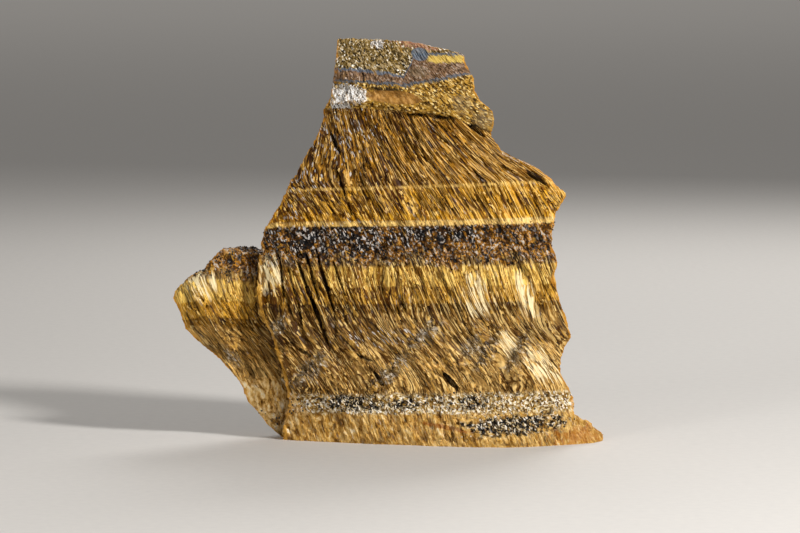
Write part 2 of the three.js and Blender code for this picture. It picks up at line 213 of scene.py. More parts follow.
# Marks on the split face and the cap, by their middle and half their length, depth and height
spots = {
    "quartz": [
        {"at": (-10.4, -11, 87.7), "half": (4.6, 8, 2.4), "turn": -8},
        {"at": (-12.6, -10, 84.8), "half": (2.6, 6, 1.8)},
        {"at": (-3.1, -9, 100), "half": (1.9, 6, 1.1)},
    ],
    "lens": [{"at": (0.8, -11, 86.9), "half": (7.2, 9, 1.7), "turn": -5}],
    "wedge": [{"at": (7.2, -11, 97.6), "half": (2.3, 8, 1.7), "turn": -12}],
    # two hollows of the cap that get painted shade
    "hollow": [
        {"at": (-1.5, -11, 89), "half": (5, 6, 0.5), "turn": -3},
        {"at": (21.4, -10, 78.9), "half": (2, 6, 1), "turn": -40},
    ],
    "flash": [
        {"at": (29.2, -13, 25.2), "half": (3.6, 6, 2.1), "turn": -58},
        {"at": (37.2, -12, 20.5), "half": (5.6, 7, 3), "turn": -48},
        {"at": (21.5, -13, 37), "half": (6, 6, 3.6), "turn": -72},
        {"at": (33.6, -13, 37), "half": (6, 6, 2.2), "turn": -72},
        {"at": (-30.4, -9, 42.6), "half": (4, 12, 4.4)},
        {"at": (-47, -3, 39), "half": (4, 8, 3.6)},
    ],
    "grey": [
        {"at": (-20.6, -11, 18.2), "half": (6.4, 7, 2.6), "turn": 38},
        {"at": (0.6, -13, 19), "half": (6.8, 7, 2.2), "turn": 45},
        {"at": (8.4, -13, 27.4), "half": (5.4, 7, 2.2), "turn": 38},
        {"at": (20, -13, 24.2), "half": (4.6, 7, 2), "turn": 50},
        {"at": (24, -13, 23), "half": (5.2, 7, 2), "turn": 55},
        {"at": (31.2, -13, 22.4), "half": (5.2, 7, 1.9), "turn": 58},
        {"at": (-28.6, -9, 29), "half": (4, 7, 2), "turn": 40},
        {"at": (-40, -4, 21), "half": (3.4, 7, 1.5), "turn": -50},
    ],
    "cream": [
        {"at": (-32, -2, 8), "half": (14, 9, 6.6)},
        {"at": (-34, 0, 14), "half": (8, 9, 1.2), "turn": 3},
    ],
    # where painted glints of pale grey gather
    "silver": [
        {"at": (-11, -9, 76), "half": (9, 9, 9)},
        {"at": (-23, -10, 68), "half": (6, 9, 7), "turn": 50},
        {"at": (-27, -11, 52), "half": (6, 9, 9)},
        {"at": (-12, -12, 52), "half": (20, 9, 4)},
        {"at": (-4, -13, 27), "half": (14, 9, 2.4)},
    ],
    "blackest": [{"at": (-13, -12, 52), "half": (17, 40, 4.6)}, {"at": (10, -12, 53), "half": (14, 40, 2)}],
    "blackCrumb": [
        {"at": (-9.5, -15, 10.2), "half": (7.6, 20, 2), "turn": -3},
        {"at": (3, -15, 10.2), "half": (5, 20, 1.1)},
        {"at": (19.8, -15, 10.8), "half": (4, 20, 1.7), "turn": 3},
        {"at": (31, -18, 5.4), "half": (13, 20, 2.5), "turn": 4},
    ],
    "swirl": [
        {"at": (17.6, -11, 85.3), "half": (2.6, 8, 2.6)},
        {"at": (22.8, -9, 81), "half": (3.2, 8, 2.9)},
        {"at": (7, -11, 93.2), "half": (2.6, 8, 1.5)},
    ],
    "crust": [{"at": (6.5, -6, 100), "half": (6.8, 12, 1.3), "turn": -8}],
    "rust": [{"at": (14.5, -16, 4.6), "half": (7.4, 12, 0.6), "turn": -10}],
    "orange": [{"at": (21.2, -10, 87), "half": (1.4, 8, 2.2)}, {"at": (48, -15, 2), "half": (9, 20, 2.4)}],
}
spotSets = {
    "capSpots": ("quartz", "lens", "wedge", "hollow"),
    "faceSpots": ("flash", "grey", "cream", "silver"),
    "seamSpots": ("blackest", "blackCrumb", "swirl", "crust"),
    "stains": ("rust", "orange"),
}
clefts = [  # x and z of both ends, half width of the opening, how deep
    (-18.8, 48.8, -14.2, 33.2, 0.4, 1.5),
    (-23.5, 45.8, -15.8, 25, 0.42, 1.6),
    (-21.2, 47.5, -18.2, 36.2, 0.36, 1.2),
    (-28, 47.5, -26.8, 36.2, 0.34, 1.1),
    (-25.8, 44.2, -22.2, 30, 0.34, 1.1),
    (-14.5, 45.8, -11.5, 37.2, 0.34, 1),
    (-15, 77.5, -12.5, 72.5, 0.4, 1.3),
    (-13.5, 68.8, -9.8, 57.5, 0.34, 0.9),
    (-4.2, 18.2, -1.8, 14.6, 0.6, 1.2),
    (13.2, 18.2, 17, 13.6, 0.66, 1.3),
    (-8.5, 22.6, -4.8, 20.8, 0.55, 1),
    (-22.8, 23.6, -20, 21.8, 0.55, 1),
    (39.8, 44.2, 41.2, 38.2, 0.36, 1),
    (33.6, 68.4, 39.4, 64.4, 0.6, 1.6),
    (4, 82.6, 16.5, 81.4, 0.36, 1.2),
    (19.4, 79.8, 23.4, 77.2, 0.5, 1.4),
    (-12.75, 93.2, -12.6, 91, 0.3, 0.7),
    (-7, 93, -6.8, 90.6, 0.3, 0.7),
]
ledges = [  # broken steps across the fibres: x and z of both ends, height, reach of the flank to the right
    (-23.4, 15.4, -16.5, 21.2, 1.5, 6),
    (-12, 17.5, -7, 24, 0.9, 5),
    (-4.7, 13.7, 5.3, 23.7, 1.5, 6),
    (5.3, 25, 12.2, 30, 1.2, 6),
    (11, 17, 15, 23, 0.9, 4),
    (18.5, 21.2, 22.9, 26.9, 1.2, 4),
    (22.2, 19.4, 27.2, 27.4, 2, 7),
    (29.7, 18.6, 34.1, 26.6, 2.2, 8),
    (-30.2, 27.5, -26, 31, 1, 5),
]


def cleftDepth(x, y, z):
    deepest = np.zeros_like(x)
    for x0, z0, x1, z1, half, depth in clefts:
        run = np.array((x1 - x0, z1 - z0))
        t = np.clip(((x - x0) * run[0] + (z - z0) * run[1]) / run.dot(run), 0, 1)
        far = np.hypot(x - x0 - t * run[0], z - z0 - t * run[1])
        width = half * (0.3 + 1.0 * np.sqrt(np.maximum(t * (1 - t), 0)))
        deepest = np.maximum(deepest, depth * (1 - rise(far, 0.4 * width, 1.6 * width)))
    return deepest * (y < 0)


def ledgeHeight(x, y, z):
    total = np.zeros_like(x)
    for x0, z0, x1, z1, height, flank in ledges:
        length = math.hypot(x1 - x0, z1 - z0)
        along = ((x - x0) * (x1 - x0) + (z - z0) * (z1 - z0)) / length ** 2
        across = ((x - x0) * (z1 - z0) - (z - z0) * (x1 - x0)) / length
        ends = between(along, -0.3, 0.1, 0.9, 1.3)
        slope = np.exp(-across.clip(0) / flank) * (1 - rise(across, flank, 2.2 * flank))
        total += height * ends * np.where(across > 0, slope, 1 - rise(-across, 0, 1.4))
    return total * rise(-y, 2, 8)


def outlineOf(points, step=0.5):  # leftmost and rightmost x at each height, evened out
    rows = np.round(points[:, 2] / step).astype(int).clip(0)
    left, right = np.full(rows.max() + 1, 1e3), np.full(rows.max() + 1, -1e3)
    np.minimum.at(left, rows, points[:, 0])
    np.maximum.at(right, rows, points[:, 0])
    heights = np.arange(rows.max() + 1) * step
    seen = right > left
    return heights[seen], left[seen], right[seen]


def markStone(mesh, outline):  # what the finishes read, from where each point is in the stone
    points = getPoints(mesh)
    x, y, z = points.T
    turns = [(math.tau * (x / waveX + z / waveZ) + phase + y / 9, far)
             for waveX, waveZ, phase, far in fibres["wander"]]
    kink = fibres["kink"] * between(z, *fibres["kinkSpan"]) * np.sin(math.tau * (x / 9 + z / 14))
    u = acrossFibres(x, z) + kink + sum(far * np.sin(turn) for turn, far in turns)
    w = z - x * readTable(layers["tilt"], z) + layers["dip"] * (y - layers["face"]).clip(0)
    stepX = readTable(lobe["stepLine"], z)
    w = w + lobe["drop"] * rise(stepX - x, 0, 1) * (1 - rise(y, -2, 8)) * (1 - rise(z, 47, 52))
    store(mesh, "grain", "FLOAT_VECTOR", np.stack([u, y, w], 1))
    dip = cap["dip"] * (y + 10)
    beds = ("upperLine", "lowerLine", "parting")
    upper, lower, parting = (z - readTable(cap[name], x) + dip for name in beds)
    store(mesh, "beds", "FLOAT_VECTOR", np.stack([upper, lower, x], 1))
    store(mesh, "capHeight", "FLOAT", parting)
    store(mesh, "cleft", "FLOAT", cleftDepth(x, y, z))
    most = {name: np.max([reach(points, place) for place in places], 0) for name, places in spots.items()}
    for setName, names in spotSets.items():
        columns = [most[name] for name in names] + [0 * x] * (4 - len(names))
        store(mesh, setName, "FLOAT_COLOR", np.stack(columns, 1))
    heights, left, right = outline
    toEdge = np.minimum(np.interp(z, heights, right) - x, x - np.interp(z, heights, left))
    store(mesh, "toEdge", "FLOAT", toEdge)
    besideStep = (z < lobe["stepTop"]) & (y < lobe["stepBack"])
    store(mesh, "toStep", "FLOAT", np.where(besideStep, x - stepX, lobe["farOff"]))
    slope = fibreSlope(x, z)
    length = np.hypot(1, slope)
    store(mesh, "fibreRun", "FLOAT_VECTOR", np.stack([-slope / length, 0 * x, 1 / length], 1))
    inCap = rise(parting, -0.6, 0.6)
    seam = between(w, *layers["seamSpan"])
    crumb = np.maximum(between(w, *layers["crumbSpan"]), rise(most["blackCrumb"], -0.3, 0.2))
    quartz = rise(most["quartz"], -0.2, 0.2)
    smooth = np.maximum(rise(most["lens"], -0.2, 0.1), 0.6 * rise(most["flash"], -0.2, 0.3))
    lumpy = np.maximum(0.6 * seam, crumb)
    store(mesh, "surface", "FLOAT_COLOR", np.stack([inCap, lumpy, quartz, smooth], 1))
    within = rise(toEdge, 1, 4)
    fibrous = within * (1 - inCap) * (1 - crumb) * (1 - 0.6 * seam)
    store(mesh, "fibrous", "FLOAT", fibrous * rise(z, 1, 3))
    granular = np.maximum(0.7 * seam, crumb) * (1 - inCap) + quartz
    store(mesh, "granular", "FLOAT", granular * rise(z, 0.6, 1.6))
    black = rise(most["blackCrumb"], -0.3, 0.3)
    store(mesh, "paleness", "FLOAT", np.maximum(0.22 * crumb, quartz) - 0.16 * seam - 0.25 * black)
    store(mesh, "standing", "FLOAT", rise(z, 0.15, 1.6) * (0.4 + 0.6 * rise(toEdge, 0.4, 4)))


# Broken fibrous quartz: the skin of the stone
skin = {
    "voxel": 0.36,      # mesh spacing across the fibres
    "squeeze": 0.5,     # the spacing along them is that many times coarser
    "weld": 1e-6,       # metres
    "most": 197000,     # triangles
    "Blade Width": 2.6, "Blade Length": 12.0, "Blade Relief": 1.2,
    "Bundle Width": 0.9, "Bundle Length": 4.6, "Bundle Relief": 0.36,
    "Fibre Width": 0.55, "Fibre Length": 3.2, "Fibre Relief": 0.3,
    "Crumb Size": 1.1, "Crumb Relief": 0.9,
    "Cap Grain": 1.5, "Cap Relief": 0.4,
}


def reliefTree(material):
    tree, add, given = newTree("broken fibres", skin)
    grain = add("GeometryNodeInputNamedAttribute", ["grain"], data_type="FLOAT_VECTOR")
    surface = add("GeometryNodeInputNamedAttribute", ["surface"], data_type="FLOAT_COLOR")
    standing = add("GeometryNodeInputNamedAttribute", ["standing"], data_type="FLOAT")
    cleft = add("GeometryNodeInputNamedAttribute", ["cleft"], data_type="FLOAT")
    inCap, granular, quartz, smooth = add("FunctionNodeSeparateColor", [surface]).node.outputs

    def plates(width, length, relief, seed, tilt):  # broken plates of random height, tipped to one side
        size = add("ShaderNodeCombineXYZ", [width, width, length])
        scaled = add("ShaderNodeVectorMath", [grain, size], operation="DIVIDE")
        cell = add("ShaderNodeTexVoronoi", {"Vector": scaled, "W": seed, "Scale": 1.0},
                   voronoi_dimensions="4D").node.outputs
        chance = add("ShaderNodeSeparateXYZ", [cell["Color"]]).node.outputs
        offset = add("ShaderNodeVectorMath", [scaled, cell["Position"]], operation="SUBTRACT")
        side = add("ShaderNodeSeparateXYZ", [offset])
        lift = add("ShaderNodeMath", [chance[0], 0.5], operation="SUBTRACT")
        lean = add("ShaderNodeMath", [chance[1], 0.5], operation="SUBTRACT")
        tipped = add("ShaderNodeMath", [lean, side], operation="MULTIPLY")
        both = add("ShaderNodeMath", [tipped, tilt, lift], operation="MULTIPLY_ADD")
        return add("ShaderNodeMath", [both, relief], operation="MULTIPLY")

    blades = plates(given["Blade Width"], given["Blade Length"], given["Blade Relief"], 1.0, 1.4)
    bundles = plates(given["Bundle Width"], given["Bundle Length"], given["Bundle Relief"], 2.0, 1.4)
    threads = plates(given["Fibre Width"], given["Fibre Length"], given["Fibre Relief"], 3.0, 1.0)
    lumps = plates(given["Crumb Size"], given["Crumb Size"], given["Crumb Relief"], 4.0, 1.6)
    capLumps = plates(given["Cap Grain"], given["Cap Grain"], given["Cap Relief"], 5.0, 1.6)
    height = add("ShaderNodeMath", [blades, bundles], operation="ADD")
    height = add("ShaderNodeMath", [height, threads], operation="ADD")
    height = add("ShaderNodeMix", [granular, None, height, lumps])
    height = add("ShaderNodeMix", [inCap, None, height, capLumps])
    height = add("ShaderNodeMix", [smooth, None, height, 0.0])
    height = add("ShaderNodeMath", [quartz, lumps, height], operation="MULTIPLY_ADD")
    height = add("ShaderNodeMath", [height, cleft], operation="SUBTRACT")
    height = add("ShaderNodeMath", [height, standing], operation="MULTIPLY")
    height = add("ShaderNodeMath", [height, mm], operation="MULTIPLY")
    normal = add("GeometryNodeInputNormal")
    offset = add("ShaderNodeVectorMath", {0: normal, "Scale": height}, operation="SCALE")
    moved = add("GeometryNodeSetPosition", {"Geometry": given["Geometry"], "Offset": offset})
    moved = add("GeometryNodeRealizeInstances", [moved])
    moved = add("GeometryNodeSetMaterial", {"Geometry": moved, "Material": material})
    add("NodeGroupOutput", [moved])
    return tree


def makeSkin(material):
    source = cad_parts["stone"].data.copy()
    source.materials.clear()
    bm = bmesh.new()
    bm.from_mesh(source)
    bmesh.ops.remove_doubles(bm, verts=bm.verts, dist=skin["weld"])
    bm.to_mesh(source)
    bm.free()
    x, y, z = getPoints(source).T
    setPoints(source, np.stack([acrossFibres(x, z), y, z * skin["squeeze"]], 1))  # fibres upright and short
    stone = newObject("tigers_eye", source)
    remesh = stone.modifiers.new("even mesh", "REMESH")
    remesh.mode = "VOXEL"
    remesh.voxel_size = skin["voxel"] * mm
    stone.data = plainMesh(stone)
    stone.modifiers.clear()
    u, y, z = getPoints(stone.data).T
    z = z / skin["squeeze"]
    x = fromFibres(u, z)
    y = y - ledgeHeight(x, y, z)
    x = x - lobe["swell"] * rise(readTable(lobe["stepLine"], z) - x, 0, 4) * (1 - rise(z, 44, 50))
    points = np.stack([x, y, z], 1)
    setPoints(stone.data, points)
    print("even mesh:", len(stone.data.polygons), "faces")
    outline = outlineOf(points)
    markStone(stone.data, outline)
    relief = stone.modifiers.new("broken fibres", "NODES")
    relief.node_group = reliefTree(material)
    setInputs(relief, skin)
    stone.data = plainMesh(stone)
    stone.modifiers.clear()
    triangles = 2 * len(stone.data.polygons)
    if triangles > skin["most"]:
        thin = stone.modifiers.new("fewer faces", "DECIMATE")
        thin.ratio = skin["most"] / triangles
        stone.data = plainMesh(stone)
        stone.modifiers.clear()
    points = getPoints(stone.data)
    points[:, 2] = points[:, 2].clip(0)
    setPoints(stone.data, points)
    markStone(stone.data, outline)
    stone.data.polygons.foreach_set("use_smooth", [False] * len(stone.data.polygons))
    print("skin:", len(stone.data.polygons), "faces")
    return stone, outline


# Loose ends of fibres that stand off the broken faces
splinters = {
    "Density": 0.07,    # for each square millimetre
    "Thinnest": 0.14, "Thickest": 0.3,
    "Narrowest": 0.3, "Widest": 0.9,
    "Shortest": 1.0, "Longest": 3.6,
    "Lift": 0.1,       # how far the tips lean out
    "Seed": 11,
}
# Grains in the crumbly seams and the sugary quartz
grains = {
    "Density": 0.7,
    "Smallest": 0.25, "Largest": 0.7,
    "Seed": 23,
}


def splinterTree(material):
    tree, add, given = newTree("loose fibre ends", splinters)
    fibrous = add("GeometryNodeInputNamedAttribute", ["fibrous"], data_type="FLOAT")
    run = add("GeometryNodeInputNamedAttribute", ["fibreRun"], data_type="FLOAT_VECTOR")
    density = add("ShaderNodeMath", [given["Density"], fibrous], operation="MULTIPLY")
    density = add("ShaderNodeMath", [density, mm ** 2], operation="DIVIDE")
    spread = add("GeometryNodeDistributePointsOnFaces",
                 {"Mesh": given["Geometry"], "Density": density, "Seed": given["Seed"]}).node.outputs
    side = add("ShaderNodeVectorMath", [spread["Normal"], run], operation="CROSS_PRODUCT")
    along = add("ShaderNodeVectorMath", [side, spread["Normal"]], operation="CROSS_PRODUCT")
    along = add("ShaderNodeVectorMath", [along], operation="NORMALIZE")
    lift = add("FunctionNodeRandomValue", {2: 0.0, 3: given["Lift"], "Seed": 1}, 1, data_type="FLOAT")
    out = add("ShaderNodeVectorMath", {0: spread["Normal"], "Scale": lift}, operation="SCALE")
    along = add("ShaderNodeVectorMath", [along, out], operation="ADD")
    turn = add("FunctionNodeAlignRotationToVector", {"Vector": along}, axis="Z")
    turn = add("FunctionNodeAlignRotationToVector", {"Rotation": turn, "Vector": spread["Normal"]},
               axis="X", pivot_axis="Z")
    thick = add("FunctionNodeRandomValue", {2: given["Thinnest"], 3: given["Thickest"], "Seed": 2}, 1,
                data_type="FLOAT")
    wide = add("FunctionNodeRandomValue", {2: given["Narrowest"], 3: given["Widest"], "Seed": 3}, 1,
               data_type="FLOAT")
    long = add("FunctionNodeRandomValue", {2: given["Shortest"], 3: given["Longest"], "Seed": 4}, 1,
               data_type="FLOAT")
    size = add("ShaderNodeCombineXYZ", [thick, wide, long])
    size = add("ShaderNodeVectorMath", {0: size, "Scale": mm}, operation="SCALE")
    cone = add("GeometryNodeMeshCone",
               {"Vertices": 4, "Radius Top": 0.1, "Radius Bottom": 0.6, "Depth": 1.0})
    cone = add("GeometryNodeTransform", {"Geometry": cone, "Translation": (0.0, 0.0, -0.4)})
    placed = add("GeometryNodeInstanceOnPoints",
                 {"Points": spread["Points"], "Instance": cone, "Rotation": turn, "Scale": size})
    chance = add("FunctionNodeRandomValue", {2: 0.0, 3: 1.0, "Seed": 5}, 1, data_type="FLOAT")
    placed = add("GeometryNodeStoreNamedAttribute", {"Geometry": placed, "Name": "chance", "Value": chance},
                 data_type="FLOAT", domain="INSTANCE")
    placed = add("GeometryNodeRealizeInstances", [placed])
    placed = add("GeometryNodeSetMaterial", {"Geometry": placed, "Material": material})
    add("NodeGroupOutput", [placed])
    return tree


def grainTree(material):
    tree, add, given = newTree("seam grains", grains)
    granular = add("GeometryNodeInputNamedAttribute", ["granular"], data_type="FLOAT")
    density = add("ShaderNodeMath", [given["Density"], granular], operation="MULTIPLY")
    density = add("ShaderNodeMath", [density, mm ** 2], operation="DIVIDE")
    spread = add("GeometryNodeDistributePointsOnFaces",
                 {"Mesh": given["Geometry"], "Density": density, "Seed": given["Seed"]}).node.outputs
    turn = add("FunctionNodeRandomValue", {1: (math.tau, math.tau, math.tau), "Seed": 1},
               data_type="FLOAT_VECTOR")
    turn = add("FunctionNodeEulerToRotation", [turn])
    wide = add("FunctionNodeRandomValue", {2: given["Smallest"], 3: given["Largest"], "Seed": 2}, 1,
               data_type="FLOAT")
    squash = add("FunctionNodeRandomValue", {0: (0.6, 0.6, 0.6), 1: (1.2, 1.2, 1.2), "Seed": 3},
                 data_type="FLOAT_VECTOR")
    size = add("ShaderNodeVectorMath", {0: squash, "Scale": wide}, operation="SCALE")
    size = add("ShaderNodeVectorMath", {0: size, "Scale": mm}, operation="SCALE")
    lump = add("GeometryNodeMeshIcoSphere", {"Radius": 0.5, "Subdivisions": 1})
    placed = add("GeometryNodeInstanceOnPoints",
                 {"Points": spread["Points"], "Instance": lump, "Rotation": turn, "Scale": size})
    chance = add("FunctionNodeRandomValue", {2: 0.0, 3: 1.0, "Seed": 5}, 1, data_type="FLOAT")
    placed = add("GeometryNodeStoreNamedAttribute", {"Geometry": placed, "Name": "chance", "Value": chance},
                 data_type="FLOAT", domain="INSTANCE")
    placed = add("GeometryNodeRealizeInstances", [placed])
    placed = add("GeometryNodeSetMaterial", {"Geometry": placed, "Material": material})
    add("NodeGroupOutput", [placed])
    return tree


def scatter(name, tree, values, source, outline):  # grow small pieces on the skin and keep them as a mesh
    piece = newObject(name, source.data.copy())
    modifier = piece.modifiers.new(name, "NODES")
    modifier.node_group = tree
    setInputs(modifier, values)
    piece.data = plainMesh(piece)
    piece.modifiers.clear()
    points = getPoints(piece.data)
    points[:, 2] = points[:, 2].clip(0)
    setPoints(piece.data, points)
    markStone(piece.data, outline)
    print(name + ":", len(piece.data.polygons), "faces")
    return piece


# Colours of the layers from the base up: lower edge, upper edge, shaded fibres, lit fibres
layerColours = [
    (0, 7.4, "#8a5c12", "#ffe09a"),      # cream splintery foot
    (8.0, 12.4, "#85622a", "#f6dca8"),   # crumbly seam
    (12.8, 24.6, "#644010", "#ecbc6a"),  # dull kinked fibres
    (25.6, 32.8, "#482a06", "#c09248"),
    (33.4, 35.2, "#341a00", "#9a6c1e"),  # darker line
    (35.5, 39.4, "#502c00", "#dea638"),  # brown band
    (39.6, 44.4, "#805410", "#ffd268"),  # bright gold band
    (45.0, 54.4, "#2c1806", "#b48a48"),  # broad dark seam
    (54.8, 55.9, "#7c5418", "#ffdc90"),  # pale line
    (56.2, 57.6, "#784a00", "#f0b42c"),
    (58.6, 63.7, "#4a2600", "#eaac2e"),  # gold brown band
    (64.0, 64.6, "#5c3408", "#ecb850"),  # second pale line
    (64.9, 88.0, "#3a1c00", "#cc9028"),  # upper fibres
]
layerTop = 90.0
paleLines = ((64.3, 0.5, 0.5), (55.3, 0.8, 0.8))  # height, half width, strength
seamEdges = {"low": 45.6, "high": 54.6, "ragged": 2.6}
crumbEdges = {"low": 7.8, "high": 12.4, "ragged": 0.9}


# Tiger's eye: quartz grown through parallel fibres, stained by iron oxide and broken across.
# To the eye it is silky gold and brown needles, with white glints where one faces the light.
def tigersEye():
    material, add = newMaterial("tigers_eye_rough")
    plain = add("ShaderNodeAttribute", output="Vector", attribute_name="grain")
    w = add("ShaderNodeSeparateXYZ", [plain], output="Z")
    upper, lower, x = add("ShaderNodeSeparateXYZ", [
        add("ShaderNodeAttribute", output="Vector", attribute_name="beds")]).node.outputs
    capHeight = add("ShaderNodeAttribute", output="Fac", attribute_name="capHeight")
    toEdge = add("ShaderNodeAttribute", output="Fac", attribute_name="toEdge")
    toStep = add("ShaderNodeAttribute", output="Fac", attribute_name="toStep")
    cleft = add("ShaderNodeAttribute", output="Fac", attribute_name="cleft")
    chance = add("ShaderNodeAttribute", output="Fac", attribute_name="chance")
    spot = {}
    for setName, names in spotSets.items():
        packed = add("ShaderNodeAttribute", output="Color", attribute_name=setName)
        parts = add("ShaderNodeSeparateColor", [packed]).node.outputs
        spot.update(zip(names, [*parts[:3], packed.node.outputs["Alpha"]]))

    # small bends, so that no two needles run quite alike
    shake = add("ShaderNodeTexNoise", {"Vector": plain, "Scale": 1 / 2.4, "Detail": 2.0}, output="Color")
    shake = add("ShaderNodeVectorMath", [shake, (0.5, 0.5, 0.5)], operation="SUBTRACT")
    grain = add("ShaderNodeVectorMath", [shake, (0.5, 0.5, 1.6), plain], operation="MULTIPLY_ADD")

    def scaled(width, length):  # twice as deep as wide, like the sheets that fibres split into
        shares = (1 / width, 0.5 / width, 1 / length)
        return add("ShaderNodeVectorMath", [grain, shares], operation="MULTIPLY")

    def needles(width, length):  # three random numbers for each broken fibre of that size
        cell = add("ShaderNodeTexVoronoi", {"Vector": scaled(width, length), "Scale": 1.0}, output="Color")
        return add("ShaderNodeSeparateColor", [cell]).node.outputs

    def streaks(width, length, detail):  # soft noise drawn out along the fibres
        return add("ShaderNodeTexNoise", {
            "Vector": scaled(width, length), "Scale": 1.0, "Detail": detail, "Roughness": 0.6})

    def paint(colour, coats):  # one coat over the other, each by its share
        for share, coat in coats:
            coat = linear(coat) if isinstance(coat, str) else coat
            colour = add("ShaderNodeMix", {0: share, 6: colour, 7: coat}, 2, data_type="RGBA")
        return colour

    fine, coarse, chips = needles(0.4, 3.6), needles(0.7, 6.0), needles(0.8, 1.3)
    granules, sparks = needles(0.38, 0.46), needles(0.32, 0.9)
    threads, tone = streaks(0.36, 6.0, 2.0), streaks(4.5, 9.0, 3.0)
    hairs, gapShade, clumps = streaks(0.42, 12.0, 1.0), streaks(0.46, 9.0, 1.0), streaks(1.6, 3.0, 3.0)
    lumps = add("ShaderNodeTexNoise", {"Vector": plain, "Scale": 1 / 1.5, "Detail": 3.0})
    ragged = add("ShaderNodeMath", [lumps, 0.5], operation="SUBTRACT")
    comb = add("ShaderNodeMath", [streaks(0.7, 30.0, 2.0), 0.5], operation="SUBTRACT")

    # how light each needle is, then its layer's shaded and lit colours
    dull = add("ShaderNodeMapRange", [w, 34.0, 30.0, 0.0, 0.75])
    needle = add("ShaderNodeMix", [dull, None, fine[0], chips[0]])
    # painted light: needles lean more to their lit colour on the lobe beside the step and towards the right
    paintedLobeLight = add("ShaderNodeMapRange", [toStep, 0.0, -2.0, 0.0, 0.58])
    light = add("ShaderNodeMapRange", [x, -26.0, 26.0, -2.06, -1.76])
    light = add("ShaderNodeMath", [light, paintedLobeLight], operation="ADD")
    for value, share in ((needle, 0.8), (coarse[0], 0.34), (threads, 1.9), (tone, 1.1)):
        light = add("ShaderNodeMath", [value, share, light], operation="MULTIPLY_ADD")
    light = add("ShaderNodeMath", [light, 0.0], operation="ADD", use_clamp=True)
    layer = add("ShaderNodeMath", [comb, 0.35, w], operation="MULTIPLY_ADD")
    place = add("ShaderNodeMath", [layer, layerTop], operation="DIVIDE")
    shadedStops, litStops = [], []
    for low, high, shadedHex, litHex in layerColours:
        shadedStops += [(low / layerTop, shadedHex), (high / layerTop, shadedHex)]
        litStops += [(low / layerTop, litHex), (high / layerTop, litHex)]
    shaded = add("ShaderNodeValToRGB", [place], stops=shadedStops)
    lit = add("ShaderNodeValToRGB", [place], stops=litStops)
    colour = add("ShaderNodeMix", {0: light, 6: shaded, 7: lit}, 2, data_type="RGBA")

    # single fibres that catch the light, more of them to the right
    brightHairs = add("ShaderNodeMapRange", [x, -20.0, 30.0, -0.035, 0.04])
    brightHairs = add("ShaderNodeMath", [hairs, brightHairs], operation="ADD")
    hairColour = add("ShaderNodeMix", {0: 0.35, 6: lit, 7: linear("#ffe6a0")}, 2, data_type="RGBA")

    # the foot is crumbled into flat flakes
    flaky = add("ShaderNodeVectorMath", [grain, (1 / 1.1, 1 / 1.1, 1 / 2.2)], operation="MULTIPLY")
    flaky = add("ShaderNodeTexNoise", {"Vector": flaky, "Scale": 1.0, "Detail": 4.0, "Roughness": 0.65})
    flaky = add("ShaderNodeMath", [chips[2], 0.2, flaky], operation="MULTIPLY_ADD")
    footColour = add("ShaderNodeValToRGB", [flaky], stops=[
        (0.4, "#4a2c08"), (0.5, "#8e6020"), (0.62, "#c8963e"), (0.74, "#e6c07a"), (0.88, "#fff0cc")])
    inFoot = add("ShaderNodeMapRange", [layer, 8.4, 7.2, 0.0, 0.7])

    # two thin pale lines across the upper half
    lines = 0.0
    for height, half, strength in paleLines:
        apart = add("ShaderNodeMath", [layer, height], operation="SUBTRACT")
        apart = add("ShaderNodeMath", [apart], operation="ABSOLUTE")
        near = add("ShaderNodeMapRange", [apart, half, 0.3 * half, 0.0, strength])
        lines = add("ShaderNodeMath", [near, lines], operation="MAXIMUM")
    dots = add("ShaderNodeMapRange", [sparks[2], 0.1, 0.7])
    lines = add("ShaderNodeMath", [lines, dots], operation="MULTIPLY")

    # grains of black goethite, brown and white quartz in the dark seam and the crumbly one
    blackness = add("ShaderNodeMapRange", [spot["blackest"], -0.4, 0.5, -0.58, -0.88])
    seamGrain = blackness
    for value, share in ((ragged, 0.7), (clumps, 1.5), (granules[0], 0.5), (chips[1], 0.4)):
        seamGrain = add("ShaderNodeMath", [value, share, seamGrain], operation="MULTIPLY_ADD")
    seamColour = add("ShaderNodeValToRGB", [seamGrain], stops=[
        (0.0, "#08080a"), (0.3, "#100d0c"), (0.38, "#2c1906"), (0.6, "#553409"), (0.76, "#8a5a16"),
        (0.9, "#c48a30"), (0.96, "#8a8074"), (1.0, "#c0b4a4")])
    seamLow = add("ShaderNodeMath", [tone, 10.0, -5.0], operation="MULTIPLY_ADD")
    seamLow = add("ShaderNodeMath", [seamLow, w], operation="ADD")
    seamLow = add("ShaderNodeMath", [ragged, 4 * seamEdges["ragged"], seamLow], operation="MULTIPLY_ADD")
    seamHigh = add("ShaderNodeMath", [comb, 1.2, w], operation="MULTIPLY_ADD")
    inSeam = add("ShaderNodeMapRange", [seamLow, seamEdges["low"] - 0.3, seamEdges["low"] + 1.2])
    underTop = add("ShaderNodeMapRange", [seamHigh, seamEdges["high"] + 0.2, seamEdges["high"] - 0.2])
    inSeam = add("ShaderNodeMath", [inSeam, underTop], operation="MULTIPLY")
    # painted glints on the dark seam, more of them where it is blackest
    seamSparks = add("ShaderNodeMapRange", [granules[2], 0.84, 0.92, 0.0, 0.75])
    seamSparks = add("ShaderNodeMath", [seamSparks, inSeam], operation="MULTIPLY")
    moreSparks = add("ShaderNodeMapRange", [spot["blackest"], -0.6, 0.3, 0.3, 1.0])
    seamSparks = add("ShaderNodeMath", [seamSparks, moreSparks], operation="MULTIPLY")
    crumbColour = add("ShaderNodeValToRGB", [granules[1]], stops=[
        (0.0, "#4a3312"), (0.2, "#8a6628"), (0.45, "#b4904c"), (0.65, "#d6c294"), (0.85, "#ece2cc"),
        (1.0, "#f6f0e4")])
    crumbPlace = add("ShaderNodeMath", [ragged, 4 * crumbEdges["ragged"], w], operation="MULTIPLY_ADD")
    inCrumb = add("ShaderNodeMapRange", [crumbPlace, crumbEdges["low"] - 0.4, crumbEdges["low"] + 0.4])
